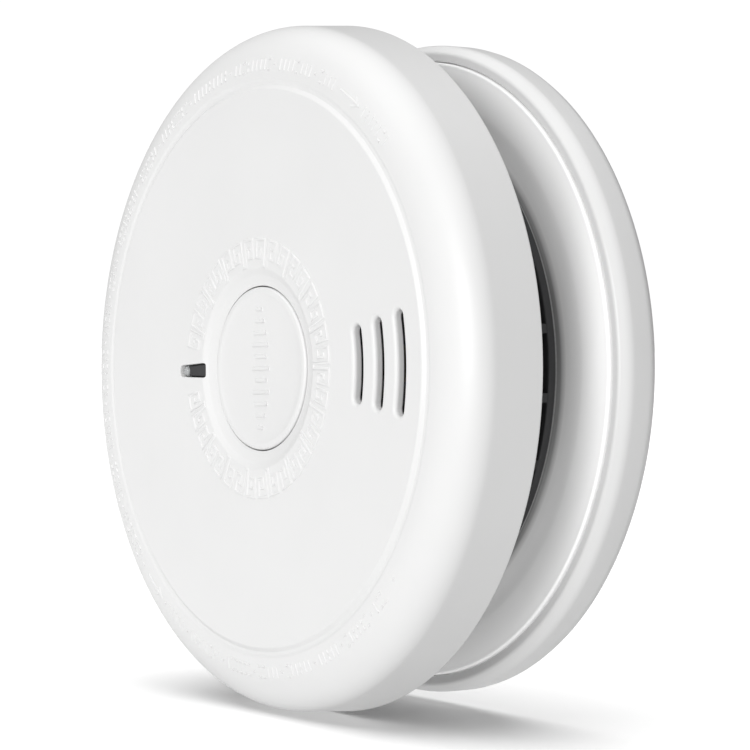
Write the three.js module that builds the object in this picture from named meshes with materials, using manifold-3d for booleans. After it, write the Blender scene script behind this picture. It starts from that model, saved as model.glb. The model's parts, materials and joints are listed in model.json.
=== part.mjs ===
// A photoelectric smoke detector, in millimetres, as an assembly of separate sub-parts.
// +Z is up and the wall is the plane Y = 0. The detector's axis is the Y axis, and its face looks along -Y.
// Sizes along the axis are given as heights above the wall, so a height h lies at Y = -h.
// Angles are seen from the front: 0 is along +X, to the right, and 90 is up.
import * as THREE from "three";
import { mergeVertices } from "three/addons/utils/BufferGeometryUtils.js";
import Module from "manifold-3d";

const wasm = await Module();
wasm.setup();

// ---------- driving dimensions ----------
const COVER_R = 60; // front cover, at its rear edge
const DEPTH = 42; // wall to the cover's flat face
const COVER_BACK = 26.5; // rear edge of the cover above the wall
const SKIN = 2; // moulded wall of the cover
const FACE_INNER = DEPTH - SKIN - 0.2;
const PLATE_R = 57.9; // mounting plate
const PLATE_FLOOR = 2.2; // thickness of the mounting plate
const RIM = 8.2; // height of the mounting plate's rim
const BASE_R = 54.6; // base housing, inside the rim
const BASE_EDGE = 8.7; // height of the base's front face, at its edge
const BASE_TOP = 11.4; // the same at the inlet cage, where it curves up
const BASE_UNDER = BASE_TOP - 1.9; // rear side of the base's front wall, inside the cage
const CAGE_R = 44.5; // inlet cage, the black neck between the two discs
const BOARD = 24.3; // rear side of the circuit board
const BOARD_T = 1.6; // circuit board thickness
const BOARD_FRONT = BOARD + BOARD_T;
const BUTTON_R = 13.95;
const BUTTON_HOLE_R = 14.35;
const BUTTON_TRAVEL = 0.8;
const SLOT_RADII = [30.6, 36.5, 42.5]; // sounder grille
const SLOT_W = 2.4;
const SOUNDER_X = 36.5;
const LED_X = -23.6; // axis of the light pipe
const POST_R = 36.5; // circle of the three assembly screws
const POST_ANGLES = [30, 150, 270];
const BOARD_SCREW_ANGLES = [90, 210, 330];
const BOARD_SCREW_R = 36;
const HOOK_ANGLES = [90, 210, 330]; // bayonet
const HOOK_HALF = 8; // half the angle that a hook or a ledge covers
const GAP = 0.05; // between pieces that rest on each other
const CLEAR = 0.3; // between pieces that only pass each other
const ROUND = 48; // sides of the large turned parts
const SMALL = 16; // sides of the small ones
const BORE = 10; // sides of a screw bore

const radians = THREE.MathUtils.degToRad;
const polar = (r, angle) => [r * Math.cos(radians(angle)), r * Math.sin(radians(angle))];

// ---------- solids ----------
function solidOf(geometry) {
  for (const name of ["normal", "uv"]) geometry.deleteAttribute(name);
  const merged = mergeVertices(geometry.index ? geometry.toNonIndexed() : geometry, 1e-4);
  const made = (triVerts) =>
    new wasm.Manifold(
      new wasm.Mesh({ numProp: 3, vertProperties: merged.attributes.position.array, triVerts })
    );
  const triangles = new Uint32Array(merged.index.array);
  const solid = made(triangles);
  return solid.volume() > 0 ? solid : made(triangles.reverse());
}

const union = (...solids) => solids.reduce((a, b) => a.add(b));
const cut = (solid, ...tools) => tools.reduce((a, b) => a.subtract(b), solid);

// A closed profile of [radius, height] points, turned about the detector's axis.
function turned(profile, sides = ROUND) {
  const points = [...profile, profile[0]].map(([r, h]) => new THREE.Vector2(r, -h));
  return solidOf(new THREE.LatheGeometry(points, sides));
}

// A shape drawn in X and Z, between two heights.
function prism(shape, low, high, curveSegments = 12) {
  const options = { depth: high - low, bevelEnabled: false, curveSegments };
  const geometry = new THREE.ExtrudeGeometry(shape, options);
  return solidOf(geometry.rotateX(Math.PI / 2).translate(0, -low, 0));
}

function disc(r, low, high, [x, z] = [0, 0], sides = SMALL) {
  const geometry = new THREE.CylinderGeometry(r, r, high - low, sides);
  return solidOf(geometry.translate(x, -(low + high) / 2, z));
}

const tube = (outer, inner, low, high, at, sides = SMALL) =>
  cut(disc(outer, low, high, at, sides), disc(inner, low - 1, high + 1, at, sides));

function block(width, tall, low, high, [x, z] = [0, 0]) {
  const geometry = new THREE.BoxGeometry(width, high - low, tall);
  return solidOf(geometry.translate(x, -(low + high) / 2, z));
}

// Part of a ring, between two radii and two angles.
function sector(inner, outer, from, to, low, high, steps = 3) {
  const shape = new THREE.Shape();
  shape.absarc(0, 0, outer, radians(from), radians(to), false);
  shape.absarc(0, 0, inner, radians(to), radians(from), true);
  shape.closePath();
  return prism(shape, low, high, steps);
}

// A slot with round ends that follows a circle of the given radius.
function arcSlot(radius, width, from, to, low, high) {
  const [inner, outer] = [radius - width / 2, radius + width / 2];
  const ends = [from, to].map((a) => disc(width / 2, low, high, polar(radius, a), 12));
  return union(sector(inner, outer, from, to, low, high, 5), ...ends);
}

// A round wire of the given diameter along a smooth route of [x, height, z] points.
function wire(diameter, route, steps, sides = 8) {
  const points = route.map(([x, h, z]) => new THREE.Vector3(x, -h, z));
  const path = new THREE.CatmullRomCurve3(points);
  const section = new THREE.Shape();
  for (let i = 0; i < sides; i++) {
    const [x, y] = polar(diameter / 2, (360 * i) / sides);
    i ? section.lineTo(x, y) : section.moveTo(x, y);
  }
  section.closePath();
  return solidOf(new THREE.ExtrudeGeometry(section, { steps, extrudePath: path }));
}

// Points on a circular arc of a profile, from one angle to another.
function arc([r, h], radius, from, to, steps) {
  const at = (i) => polar(radius, from + ((to - from) * i) / steps);
  return Array.from({ length: steps + 1 }, (_, i) => [r + at(i)[0], h + at(i)[1]]);
}

// ---------- mounting plate ----------
const BACK_ROUND = 2.5; // rounding of the rear edge
const SCREW_CIRCLE = 30; // the wall screws sit about this far from the axis
const SCREW_SLOT_W = 4.6;
const SCREW_HEAD_R = 4.6;

function keyhole(z) {
  const head = disc(SCREW_HEAD_R, -1, 4, [0, z]);
  const neck = block(SCREW_SLOT_W, 8, -1, 4, [0, z + 6]);
  return union(head, neck, disc(SCREW_SLOT_W / 2, -1, 4, [0, z + 10]));
}

// A hook is a post with a lip at its top that reaches outwards over a ledge of the base.
const HOOK = { inner: 46.6, post: 49, lip: 51.4, under: 5.3, top: 6.7 };

function hook(angle) {
  const [from, to] = [angle - HOOK_HALF, angle + HOOK_HALF];
  const post = sector(HOOK.inner, HOOK.post, from, to, PLATE_FLOOR - 0.5, HOOK.top);
  const lip = sector(HOOK.inner, HOOK.lip, from, to, HOOK.under, HOOK.top);
  return union(post, lip);
}

function mountingPlate() {
  const rimInner = BASE_R + 0.4;
  const profile = [
    [0, 0],
    ...arc([PLATE_R - BACK_ROUND, BACK_ROUND], BACK_ROUND, -90, 0, 3),
    [PLATE_R, RIM - 2.8],
    [PLATE_R - 0.6, RIM - 1.2],
    [rimInner + 1.4, RIM],
    [rimInner + 0.4, RIM - 0.1],
    [rimInner, RIM - 0.6],
    [rimInner, PLATE_FLOOR],
    [0, PLATE_FLOOR],
  ];
  const arcSlots = [0, 180].map((a) => arcSlot(SCREW_CIRCLE, SCREW_SLOT_W, a - 14, a + 14, -1, 4));
  const keyholes = [SCREW_CIRCLE - 4, -SCREW_CIRCLE - 4].map(keyhole);
  return cut(union(turned(profile), ...HOOK_ANGLES.map(hook)), ...arcSlots, ...keyholes);
}

// ---------- base housing and battery ----------
const WELL = { x: 51, z: 26.9, top: 21.1, wall: 1.2 }; // inside of the battery well
const WELL_Z = -14.3; // its middle
const BATTERY = { x: 46.4, z: 26.5, low: 3.4, high: 20.9 };
const BATTERY_X = -2.1;
const TERMINALS_X = BATTERY_X + BATTERY.x / 2;
const SKIRT_LOW = 3; // rear edge of the base's skirt
const LEDGE_R = 49.4; // inner radius of the ledges that the hooks of the mounting plate hold
const BOSS_TOP = 22.3;
const RISE = [[50, 9.3], [47.8, 9.7], [46.2, 10.3], [CAGE_R + 0.6, BASE_TOP]]; // curve of the front face

function baseHousing() {
  const inside = BASE_R - 1.8;
  const shell = turned([
    [0, BASE_UNDER],
    [CAGE_R, BASE_UNDER],
    [46, BASE_EDGE - 0.5],
    [inside, BASE_EDGE - 1.9],
    [inside, SKIRT_LOW],
    [BASE_R, SKIRT_LOW],
    [BASE_R, BASE_EDGE - 1],
    [BASE_R - 0.4, BASE_EDGE - 0.4],
    [BASE_R - 1.3, BASE_EDGE],
    ...RISE,
    [0, BASE_TOP],
  ]);
  const wellBox = block(
    WELL.x + 2 * WELL.wall, WELL.z + 2 * WELL.wall, BASE_UNDER, WELL.top + WELL.wall, [0, WELL_Z]
  );
  const pocket = block(WELL.x, WELL.z, SKIRT_LOW, WELL.top, [0, WELL_Z]);
  const leadNotch = block(3.6, 12, WELL.top - 1, WELL.top + 3, [23.9, WELL_Z + 1]);
  const ledge = (from, to, high) => sector(LEDGE_R, inside + 0.3, from, to, SKIRT_LOW + 0.3, high, 3);
  const ledges = HOOK_ANGLES.map((a) => ledge(a - HOOK_HALF, a + HOOK_HALF, 4.9));
  const stops = HOOK_ANGLES.map((a) => ledge(a + HOOK_HALF + 0.6, a + HOOK_HALF + 2.6, BASE_EDGE - 1));
  const bosses = POST_ANGLES.map((a) => disc(3.2, BASE_UNDER, BOSS_TOP, polar(POST_R, a), 12));
  const holes = POST_ANGLES.map((a) => disc(1.7, BASE_UNDER - 1, BOSS_TOP + 1, polar(POST_R, a), BORE));
  return cut(union(shell, wellBox, ...ledges, ...stops, ...bosses), pocket, leadNotch, ...holes);
}

// A rounded bar along X, with its section centred on a height and a Z.
function barAlongX(from, to, tall, deep, radius, height, z) {
  const shape = new THREE.Shape();
  const [w, h] = [tall / 2, deep / 2];
  shape.absarc(w - radius, h - radius, radius, 0, Math.PI / 2, false);
  shape.absarc(-w + radius, h - radius, radius, Math.PI / 2, Math.PI, false);
  shape.absarc(-w + radius, -h + radius, radius, Math.PI, 1.5 * Math.PI, false);
  shape.absarc(w - radius, -h + radius, radius, 1.5 * Math.PI, 2 * Math.PI, false);
  shape.closePath();
  const options = { depth: to - from, bevelEnabled: false, curveSegments: 3 };
  const geometry = new THREE.ExtrudeGeometry(shape, options);
  return solidOf(geometry.rotateY(Math.PI / 2).translate(from, -height, z));
}

function discAlongX(r, from, to, height, z, sides = SMALL) {
  const geometry = new THREE.CylinderGeometry(r, r, to - from, sides).rotateZ(Math.PI / 2);
  return solidOf(geometry.translate((from + to) / 2, -height, z));
}

const BATTERY_MID = (BATTERY.low + BATTERY.high) / 2;
const TERMINAL_PITCH = 12.7;
const PLUS_Z = WELL_Z + TERMINAL_PITCH / 2;
const MINUS_Z = WELL_Z - TERMINAL_PITCH / 2;

const batteryCase = () =>
  barAlongX(BATTERY_X - BATTERY.x / 2, TERMINALS_X, BATTERY.z, 17.5, 2, BATTERY_MID, WELL_Z);
const plusTerminal = () =>
  discAlongX(2.8, TERMINALS_X + GAP, TERMINALS_X + 2, BATTERY_MID, PLUS_Z);
const minusTerminal = () =>
  discAlongX(4, TERMINALS_X + GAP, TERMINALS_X + 2, BATTERY_MID, MINUS_Z, 6);
const CONTACT_X = TERMINALS_X + 2 + GAP;
const plusSnap = () => discAlongX(4, CONTACT_X, CONTACT_X + 1, BATTERY_MID, PLUS_Z, 12);
const minusSnap = () => discAlongX(2.8, CONTACT_X, CONTACT_X + 1, BATTERY_MID, MINUS_Z);
const LEADS_X = CONTACT_X + 1.6; // middle of the plate that holds the snaps and the leads
const contactPlate = () => block(1, 25, 5, 20, [LEADS_X, WELL_Z]);

// A lead that ends in the wire hole at padZ of the circuit board.
function batteryLead(z, padZ) {
  const [x, onBoard] = [LEADS_X, LEADS_X - 0.9];
  const route = [[x, 20.3, z], [x, 21.6, z], [x - 0.8, 23, padZ], [onBoard, BOARD - CLEAR, padZ]];
  return wire(1.2, route, 6);
}

// ---------- inlet cage, insect screen and rear cover ----------
const CAGE_FOOT = BASE_TOP + GAP;
const CAGE_TOP = 28;
const LEDGE = 22.5; // rear side of the ledge that carries the circuit board
const CAGE_INNER = CAGE_R - 1.8;
const LEDGE_INNER = 33.5;
const RIBS = 24;

function inletCage() {
  const foot = tube(CAGE_R, CAGE_INNER, CAGE_FOOT, CAGE_FOOT + 1.6, [0, 0], ROUND);
  const top = turned([
    [CAGE_INNER, CAGE_TOP],
    [CAGE_R, CAGE_TOP],
    [CAGE_R, LEDGE],
    [LEDGE_INNER, LEDGE],
    [LEDGE_INNER, BOARD - CLEAR],
    [CAGE_INNER, BOARD - CLEAR],
  ]);
  const ribs = Array.from({ length: RIBS }, (_, i) => {
    const angle = (360 * (i + 0.5)) / RIBS;
    return sector(CAGE_INNER + 0.1, CAGE_R - 0.1, angle - 1, angle + 1, CAGE_FOOT + 1, LEDGE + 1, 1);
  });
  const bore = (r, at) => disc(r, LEDGE - 1, BOARD, at, BORE);
  const postHoles = POST_ANGLES.map((a) => bore(1.7, polar(POST_R, a)));
  const screwHoles = BOARD_SCREW_ANGLES.map((a) => bore(1.4, polar(BOARD_SCREW_R, a)));
  return cut(union(foot, top, ...ribs), ...postHoles, ...screwHoles);
}

// The fine mesh behind the ribs.
const insectScreen = () =>
  tube(CAGE_INNER - 0.3, CAGE_INNER - 0.7, CAGE_FOOT + 0.2, LEDGE - 0.2, [0, 0], ROUND);
const rearCover = () => tube(57.6, CAGE_R - 1.4, CAGE_TOP + GAP, CAGE_TOP + 1.6, [0, 0], ROUND);

// ---------- circuit board and what is on it ----------
function circuitBoard() {
  const notches = POST_ANGLES.map((a) => disc(3.3, BOARD - 1, BOARD_FRONT + 1, polar(POST_R, a)));
  const holes = BOARD_SCREW_ANGLES.map((a) =>
    disc(1.4, BOARD - 1, BOARD_FRONT + 1, polar(BOARD_SCREW_R, a), BORE)
  );
  return cut(disc(CAGE_INNER - 0.6, BOARD, BOARD_FRONT, [0, 0], ROUND), ...notches, ...holes);
}

const ON_BOARD = BOARD_FRONT + GAP;
const SWITCH_TOP = ON_BOARD + 3.5;
const PLUNGER_TOP = 31.2;
const switchBody = () =>
  cut(block(6, 6, ON_BOARD, SWITCH_TOP), disc(1.95, SWITCH_TOP - 2.2, SWITCH_TOP + 1));
const switchPlunger = () => disc(1.75, SWITCH_TOP - 2.2 + BUTTON_TRAVEL + 0.3, PLUNGER_TOP);
const microcontroller = () => block(10, 6.2, ON_BOARD, ON_BOARD + 1.6, [12, -14]);
const capacitor = () => disc(3.15, ON_BOARD, ON_BOARD + 7.2, [-14, -20]);
const inductor = () =>
  union(
    disc(4.4, ON_BOARD, ON_BOARD + 1, [-2, -27]),
    disc(3.6, ON_BOARD + 0.5, ON_BOARD + 4.5, [-2, -27]),
    disc(4.4, ON_BOARD + 4, ON_BOARD + 5, [-2, -27])
  );
const statusLed = () => block(2, 1.6, ON_BOARD, ON_BOARD + 1, [LED_X, 0]);

// A clear rod that carries the light to the face, with a domed tip.
function lightPipe() {
  const radius = 0.95;
  const tip = DEPTH - 0.2 - radius;
  const foot = ON_BOARD + 1.3;
  const collar = [[0, foot], [2.2, foot], [2.2, foot + 1.2], [radius, foot + 1.8]];
  const profile = [...collar, ...arc([0, tip], radius, 0, 90, 6)];
  const solid = turned(profile, SMALL);
  return solid.translate([LED_X, 0, 0]);
}

// The window in the cover narrows away from the button. Its outline is offset by the given amount.
function windowSlot(offset, low, high) {
  const wide = { x: -18.05, r: 1.38 + offset };
  const narrow = { x: -23.85, r: 1.05 + offset };
  const corners = [[wide.x, wide.r], [narrow.x, narrow.r], [narrow.x, -narrow.r], [wide.x, -wide.r]];
  const between = new THREE.Shape(corners.map(([x, z]) => new THREE.Vector2(x, z)));
  const ends = [wide, narrow].map(({ x, r }) => disc(r, low, high, [x, 0], 20));
  return union(prism(between, low, high), ...ends);
}

// A black block behind the window that holds the light pipe and keeps stray light in.
function lightPipeHolder() {
  const top = FACE_INNER - CLEAR;
  const solid = union(block(9, 4.4, 36, top, [-20.7, 0]), windowSlot(-0.25, top - 0.5, DEPTH - 0.7));
  return cut(solid, disc(1, 35, DEPTH, [LED_X, 0]));
}

// ---------- optical chamber, on the rear side of the board ----------
const CHAMBER = [0, 17];
const CHAMBER_R = 15.6;
const CAP_LOW = BASE_TOP + 0.4;
const VANES = 12;
const OPTICS_ANGLES = [200, 340]; // where the emitter and the photodiode lie, off each other's axis
const OPTICS_R = 8.6;
const OPTIC = 2; // radius of the emitter and of the photodiode

const aboutChamber = (solid) => solid.translate([CHAMBER[0], 0, CHAMBER[1]]);

function chamberBase() {
  const floor = disc(CHAMBER_R, 21.2, BOARD - GAP, CHAMBER, 32);
  const beds = OPTICS_ANGLES.map((a) => {
    const [x, z] = polar(OPTICS_R, a);
    return block(7, 7, 19.4, 21.4, [CHAMBER[0] + x, CHAMBER[1] + z]);
  });
  return union(floor, ...beds);
}

// The cap carries the ring of bent vanes that let smoke in and keep light out.
function chamberCap() {
  const vane = (i) => {
    const a = (360 * i) / VANES;
    const outer = sector(13, 15.2, a, a + 5, CAP_LOW + 1.2, 20.9, 1);
    const inner = sector(12, 13.3, a + 1, a + 15, CAP_LOW + 1.2, 20.9, 1);
    return union(outer, inner);
  };
  const clearOfOptics = (i) => {
    const a = (360 * i) / VANES + 6;
    return OPTICS_ANGLES.every((b) => Math.abs(((a - b + 540) % 360) - 180) > 26);
  };
  const kept = Array.from({ length: VANES }, (_, i) => i).filter(clearOfOptics).map(vane);
  return aboutChamber(union(disc(CHAMBER_R, CAP_LOW, CAP_LOW + 1.4, [0, 0], 32), ...kept));
}

// A 5 mm emitter or detector lying on its bed, with its dome towards the middle of the chamber.
function opticalPart(angle, radius) {
  const body = new THREE.CylinderGeometry(radius, radius, 5, SMALL).rotateZ(Math.PI / 2);
  const dome = new THREE.SphereGeometry(radius, SMALL, 8).translate(-2.5, 0, 0);
  const flange = new THREE.CylinderGeometry(radius + 0.4, radius + 0.4, 1, SMALL)
    .rotateZ(Math.PI / 2)
    .translate(2.6, 0, 0);
  const lying = union(solidOf(body), solidOf(dome), solidOf(flange));
  const height = 19.4 - radius - 0.45;
  const [x, z] = polar(OPTICS_R, angle);
  return aboutChamber(lying.rotate([0, -angle, 0]).translate([x, -height, z]));
}

// ---------- sounder ----------
const SOUNDER = [SOUNDER_X, 0];
const SOUNDER_R = 13.5;
const SOUNDER_TOP = 38.7;

function sounderHousing() {
  const wall = tube(SOUNDER_R, 12.2, 30.2, SOUNDER_TOP, SOUNDER, 28);
  const front = tube(12.6, 4, SOUNDER_TOP - 1.2, SOUNDER_TOP, SOUNDER, 28);
  const seat = tube(12.6, 10.8, 33, 34, SOUNDER, 28);
  const legs = [130, 180, 230].map((a) =>
    sector(12.2, SOUNDER_R, a - 9, a + 9, ON_BOARD, 30.4, 2).translate([SOUNDER_X, 0, 0])
  );
  return union(wall, front, seat, ...legs);
}

const sounderGasket = () =>
  tube(SOUNDER_R, 11.6, SOUNDER_TOP + GAP, FACE_INNER - CLEAR, SOUNDER, 28);
const piezoDisc = () => disc(12, 32.6, 32.9, SOUNDER, 28);
const piezoCeramic = () => disc(8.5, 32.25, 32.55, SOUNDER, 28);
const sounderBack = () =>
  union(tube(12, 10.4, 30.4, 32.2, SOUNDER, 28), disc(12, 29.6, 30.6, SOUNDER, 28));

function sounderLead(z, padX) {
  const x = SOUNDER_X - 4;
  return wire(1, [[x, 29.2, z], [x - 1.6, 28.1, z], [padX + 1, 27.3, z], [padX, ON_BOARD + CLEAR, z]], 7);
}

// ---------- front cover ----------
const SLEEVE_LOW = 33.7;
const GROOVE = DEPTH - 0.5;
const SHOULDER = { r: 50.6, h: 35.1, wide: 8.8, high: 6.5 }; // quarter ellipse round the face

function coverShell() {
  const { r, h, wide, high } = SHOULDER;
  const shoulder = (across, along, steps) =>
    arc([0, 0], 1, 0, 90, steps).map(([x, y]) => [r + x * across, h + y * along]);
  return turned([
    [COVER_R, COVER_BACK],
    ...shoulder(wide, high, 5),
    [49.8, GROOVE],
    [48.9, GROOVE],
    [48.2, DEPTH],
    [17.3, DEPTH],
    [14.9, DEPTH - 0.9],
    [BUTTON_HOLE_R, DEPTH - 1.3],
    [BUTTON_HOLE_R, SLEEVE_LOW],
    [15.9, SLEEVE_LOW],
    [15.9, FACE_INNER],
    ...shoulder(wide - SKIN, FACE_INNER - h, 3).reverse(),
    [COVER_R - SKIN, COVER_BACK],
  ]);
}

function frontCover() {
  const posts = POST_ANGLES.map((a) => disc(2.9, BOARD, FACE_INNER + 0.5, polar(POST_R, a), 12));
  const bores = POST_ANGLES.map((a) => disc(1.7, BOARD - 1, 36.5, polar(POST_R, a), BORE));
  const slots = SLOT_RADII.map((r) => arcSlot(r, SLOT_W, -10, 10, FACE_INNER - 1, DEPTH + 1));
  const window = windowSlot(0, FACE_INNER - 1, DEPTH + 1);
  return cut(union(coverShell(), ...posts), ...bores, ...slots, window);
}

// ---------- test button ----------
function testButton() {
  const top = DEPTH - 0.75;
  const cup = turned([
    [0, top - 2.3],
    [BUTTON_R - 1.6, top - 2.3],
    [BUTTON_R - 1.6, 32.2],
    [BUTTON_R, 32.2],
    [BUTTON_R, top - 0.6],
    [BUTTON_R - 0.3, top - 0.2],
    [BUTTON_R - 1, top],
    [BUTTON_R - 2.4, top - 0.05],
    [BUTTON_R - 6, top - 0.4],
    [0, top - 0.6],
  ], 36);
  const lugs = [60, 180, 300].map((a) => sector(13.2, 15.2, a - 10, a + 10, 32.2, SLEEVE_LOW - 0.3, 2));
  return union(cup, ...lugs, disc(2.2, PLUNGER_TOP + GAP, top - 2));
}

// A coil spring between the board and the button, round the switch.
function buttonSpring() {
  const [low, high, radius, turns] = [26.4, 38.5, 5.8, 5];
  const perTurn = 9;
  const route = Array.from({ length: turns * perTurn + 1 }, (_, i) => {
    const [x, z] = polar(radius, (360 * i) / perTurn);
    return [x, low + ((high - low) * i) / (turns * perTurn), z];
  });
  return wire(0.6, route, turns * perTurn, 5);
}

// ---------- screws ----------
function assemblyScrew(angle) {
  const at = polar(POST_R, angle);
  const underHead = BASE_UNDER - GAP;
  const head = disc(2.9, underHead - 2, underHead, at);
  const cross = union(
    block(3, 0.7, underHead - 2.5, underHead - 1, at),
    block(0.7, 3, underHead - 2.5, underHead - 1, at)
  );
  return union(cut(head, cross), disc(1.5, underHead - 0.5, 34, at, BORE));
}

function boardScrew(angle) {
  const at = polar(BOARD_SCREW_R, angle);
  const head = disc(2.3, ON_BOARD, ON_BOARD + 1.3, at);
  const slot = block(3, 0.6, ON_BOARD + 0.7, ON_BOARD + 2, at);
  return union(cut(head, slot), disc(1.1, LEDGE + 0.1, ON_BOARD + 0.3, at, BORE));
}

// ---------- assembly ----------
const finish = (colour, roughness, metalness = 0) =>
  new THREE.MeshStandardMaterial({ color: colour, roughness, metalness });
const white = finish(0xf2f2f0, 0.5);
const black = finish(0x1b1c1e, 0.6);
const steel = finish(0xb9bcc0, 0.35, 0.9);
const brass = finish(0xc9a45a, 0.35, 0.9);
const clear = finish(0xdfe6ea, 0.1);
const boardGreen = finish(0x1f5b38, 0.55);
const redSleeve = finish(0xb02a20, 0.5);
const blackSleeve = finish(0x202022, 0.5);

const parts = [
  ["mounting_plate", mountingPlate(), white],
  ["base_housing", baseHousing(), white],
  ["battery_case", batteryCase(), finish(0x5c6670, 0.35, 0.5)],
  ["battery_terminal_positive", plusTerminal(), steel],
  ["battery_terminal_negative", minusTerminal(), steel],
  ["battery_snap_positive", plusSnap(), steel],
  ["battery_snap_negative", minusSnap(), steel],
  ["battery_contact_plate", contactPlate(), black],
  ["battery_lead_red", batteryLead(-11.5, -13), redSleeve],
  ["battery_lead_black", batteryLead(-18, -16.5), blackSleeve],
  ["inlet_cage", inletCage(), black],
  ["insect_screen", insectScreen(), steel],
  ["rear_cover", rearCover(), black],
  ["circuit_board", circuitBoard(), boardGreen],
  ["chamber_base", chamberBase(), black],
  ["chamber_cap", chamberCap(), black],
  ["infrared_emitter", opticalPart(OPTICS_ANGLES[0], OPTIC), clear],
  ["photodiode", opticalPart(OPTICS_ANGLES[1], OPTIC), finish(0x2b2340, 0.2)],
  ["microcontroller", microcontroller(), black],
  ["capacitor", capacitor(), finish(0x2a3550, 0.4, 0.3)],
  ["inductor", inductor(), finish(0x33302d, 0.7)],
  ["switch_body", switchBody(), black],
  ["switch_plunger", switchPlunger(), black],
  ["status_led", statusLed(), finish(0xd8392e, 0.3)],
  ["light_pipe", lightPipe(), clear],
  ["light_pipe_holder", lightPipeHolder(), black],
  ["sounder_housing", sounderHousing(), black],
  ["sounder_gasket", sounderGasket(), finish(0x3a3a3c, 0.95)],
  ["piezo_disc", piezoDisc(), brass],
  ["piezo_ceramic", piezoCeramic(), finish(0xd9d2c2, 0.6)],
  ["sounder_back", sounderBack(), black],
  ["sounder_lead_red", sounderLead(2.5, 26), redSleeve],
  ["sounder_lead_black", sounderLead(-2.5, 26), blackSleeve],
  ["front_cover", frontCover(), white],
  ["test_button", testButton(), white],
  ["button_spring", buttonSpring(), steel],
  ...POST_ANGLES.map((a, i) => [`assembly_screw_${i + 1}`, assemblyScrew(a), steel]),
  ...BOARD_SCREW_ANGLES.map((a, i) => [`board_screw_${i + 1}`, boardScrew(a), steel]),
];

function meshOf([name, solid, material]) {
  const { numProp, numVert, vertProperties, triVerts } = solid.getMesh();
  const points = new Float32Array(numVert * 3);
  for (let i = 0; i < numVert; i++) {
    points.set(vertProperties.subarray(i * numProp, i * numProp + 3), i * 3);
  }
  const geometry = new THREE.BufferGeometry()
    .setAttribute("position", new THREE.BufferAttribute(points, 3))
    .setIndex(new THREE.BufferAttribute(triVerts, 1));
  const mesh = new THREE.Mesh(geometry, material);
  mesh.name = name;
  return mesh;
}

const detector = new THREE.Group();
for (const part of parts) {
  detector.add(meshOf(part));
}

export default detector;
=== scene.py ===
import json
import math
import random

import bmesh
import bpy
from mathutils import Matrix, Vector


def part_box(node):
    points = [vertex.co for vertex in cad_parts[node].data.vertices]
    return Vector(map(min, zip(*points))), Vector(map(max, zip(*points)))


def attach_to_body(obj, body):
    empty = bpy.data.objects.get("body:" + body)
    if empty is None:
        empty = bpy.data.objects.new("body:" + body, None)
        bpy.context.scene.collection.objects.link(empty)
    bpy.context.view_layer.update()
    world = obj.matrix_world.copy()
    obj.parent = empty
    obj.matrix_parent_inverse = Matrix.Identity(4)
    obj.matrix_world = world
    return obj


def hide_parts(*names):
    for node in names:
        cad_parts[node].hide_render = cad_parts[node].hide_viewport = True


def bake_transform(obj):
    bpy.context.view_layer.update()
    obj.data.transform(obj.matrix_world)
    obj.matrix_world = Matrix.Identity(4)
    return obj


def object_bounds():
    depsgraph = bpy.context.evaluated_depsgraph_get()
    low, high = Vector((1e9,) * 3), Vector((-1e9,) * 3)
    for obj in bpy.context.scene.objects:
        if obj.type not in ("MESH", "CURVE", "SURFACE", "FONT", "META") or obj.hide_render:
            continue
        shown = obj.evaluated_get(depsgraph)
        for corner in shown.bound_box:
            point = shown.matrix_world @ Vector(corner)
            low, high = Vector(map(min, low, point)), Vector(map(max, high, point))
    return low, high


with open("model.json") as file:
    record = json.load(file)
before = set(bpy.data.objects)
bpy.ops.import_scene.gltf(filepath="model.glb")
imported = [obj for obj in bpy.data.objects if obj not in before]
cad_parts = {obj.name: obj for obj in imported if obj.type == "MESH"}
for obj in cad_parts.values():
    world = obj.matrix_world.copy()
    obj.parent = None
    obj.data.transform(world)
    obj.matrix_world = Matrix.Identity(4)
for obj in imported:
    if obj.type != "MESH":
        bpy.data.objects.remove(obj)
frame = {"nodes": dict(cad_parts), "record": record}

CAD_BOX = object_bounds()
MM = 0.001


# ---------- driving sizes, in millimetres ----------
# The detector's axis is Y. A height h is counted from the wall, so it lies at Y = -h.
# Angles are seen from the front, in degrees: 0 is along +X and 90 is up.
def reach(node):
    """How far a round CAD node reaches from the detector's axis."""
    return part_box(node)[1].x / MM


def low_height(node):
    """Height of a CAD node's rear end."""
    return -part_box(node)[1].y / MM


def high_height(node):
    """Height of a CAD node's front end."""
    return -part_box(node)[0].y / MM


def place_of(node):
    """The middle of a CAD node, as X and Z."""
    low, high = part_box(node)
    return (low.x + high.x) / 2 / MM, (low.z + high.z) / 2 / MM


COVER_R = reach("front_cover")
DEPTH = high_height("front_cover")
REAR_COVER_INSET = 1.55  # the rear cover lies this deep inside the front cover's wall
COVER_BACK = low_height("rear_cover") - REAR_COVER_INSET
SKIN = 2.0
FACE_INNER = DEPTH - SKIN - 0.2  # inside of the face
PLATE_R = reach("mounting_plate")
PLATE_FLOOR = 2.2
RIM = high_height("mounting_plate")  # height of the plate's rim
BASE_R = reach("base_housing")
BASE_INSIDE = BASE_R - 1.8
BASE_EDGE = RIM + 0.5
BASE_TOP = low_height("inlet_cage") - 0.05
BASE_UNDER = BASE_TOP - 1.9  # rear side of the base's floor
SKIRT_LOW = low_height("base_housing")  # rear edge of the base's skirt
WELL_TOP = high_height("base_housing")  # front of the battery well
CAGE_R = reach("inlet_cage")
CAGE_TOP = high_height("inlet_cage")
CAGE_INNER = CAGE_R - 1.8
LEDGE = WELL_TOP + 0.2  # rear face of the cage's ledge, which carries the circuit board
LEDGE_INNER = 33.5
RIBS = 24
BUTTON_TOP = high_height("test_button")
BUTTON_LOW = low_height("test_button")
BUTTON_R = 14.1
BUTTON_HOLE_R = 14.3
SLEEVE_LOW = 33.7  # rear edge of the cover's sleeve round the button
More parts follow.
